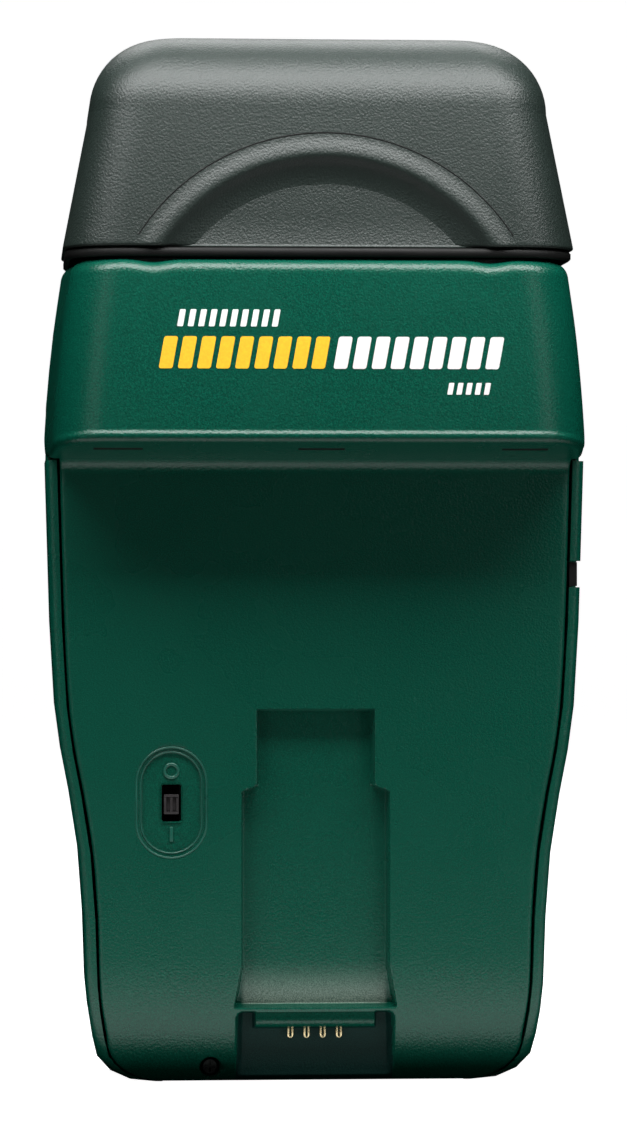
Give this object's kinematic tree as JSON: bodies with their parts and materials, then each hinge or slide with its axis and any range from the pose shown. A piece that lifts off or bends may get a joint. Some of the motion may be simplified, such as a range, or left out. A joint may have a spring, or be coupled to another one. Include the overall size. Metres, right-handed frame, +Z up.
{
  "type": "moisture meter",
  "caption": "Pin moisture meter base unit: green two-part case with a dock for a display unit, slide switch, spring contacts, battery door and a black cap over two measuring pins.",
  "frame": {"origin": "middle of the flat foot, under the centre of the unit's width and depth", "axes": "+Z up to the pins and cap, the front with the dock faces -Y, +X to the right seen from the front"},
  "size_m": [0.0842, 0.046, 0.1625],
  "materials": {
    "green_case": "moulded, fine spark-erosion grain",
    "black_cap": "moulded, satin, fine grain",
    "black_knob": "smooth",
    "black_parts": "smooth",
    "gold_contact": "gold plated",
    "circuit_board": "solder mask",
    "nickel": "nickel plated, turned",
    "steel": "bright",
    "battery_wrap": "printed film, plain",
    "wire_red": "smooth insulation",
    "wire_black": "smooth insulation"
  },
  "bodies": {
    "case": {"front_case": "green_case", "back_case": "green_case", "pin_block": "black_cap", "switch_body": "black_parts", "contact_block": "black_parts", "processor_chip": "black_parts", "probe_jack": "black_parts", "battery_snap": "black_parts", "main_board": "circuit_board", "radio_module": "circuit_board", "collet_left": "nickel", "collet_right": "nickel", "terminal_left": "nickel", "terminal_right": "nickel", "pin_left": "steel", "pin_right": "steel", "case_screw_1": "steel", "case_screw_2": "steel", "case_screw_3": "steel", "case_screw_4": "steel", "chin_screw": "steel", "battery_9v": "battery_wrap", "pin_lead_right": "wire_red", "battery_lead_red": "wire_red", "pin_lead_left": "wire_black", "battery_lead_black": "wire_black"},
    "cap": {"pin_cap": "black_cap"},
    "knob": {"switch_knob": "black_knob"},
    "door": {"battery_door": "green_case"},
    "spring_1": {"contact_1": "gold_contact"},
    "spring_2": {"contact_2": "gold_contact"},
    "spring_3": {"contact_3": "gold_contact"},
    "spring_4": {"contact_4": "gold_contact"}
  },
  "joints": [
    {"name": "cap_slide", "type": "slide", "parent": "case", "child": "cap", "axis": [0, 0, 1], "range_m": [0, 0.045]},
    {"name": "switch_slide", "type": "slide", "parent": "case", "child": "knob", "axis": [0, 0, 1], "range_m": [-0.0008, 0.0012]},
    {"name": "door_slide", "type": "slide", "parent": "case", "child": "door", "axis": [0, 0, -1], "range_m": [0, 0.06]},
    {"name": "contact_1_press", "type": "slide", "parent": "case", "child": "spring_1", "axis": [0, 1, 0], "range_m": [0, 0.0004], "stiffness_N_per_m": 150},
    {"name": "contact_2_press", "type": "slide", "parent": "case", "child": "spring_2", "axis": [0, 1, 0], "range_m": [0, 0.0004], "stiffness_N_per_m": 150},
    {"name": "contact_3_press", "type": "slide", "parent": "case", "child": "spring_3", "axis": [0, 1, 0], "range_m": [0, 0.0004], "stiffness_N_per_m": 150},
    {"name": "contact_4_press", "type": "slide", "parent": "case", "child": "spring_4", "axis": [0, 1, 0], "range_m": [0, 0.0004], "stiffness_N_per_m": 150}
  ]
}
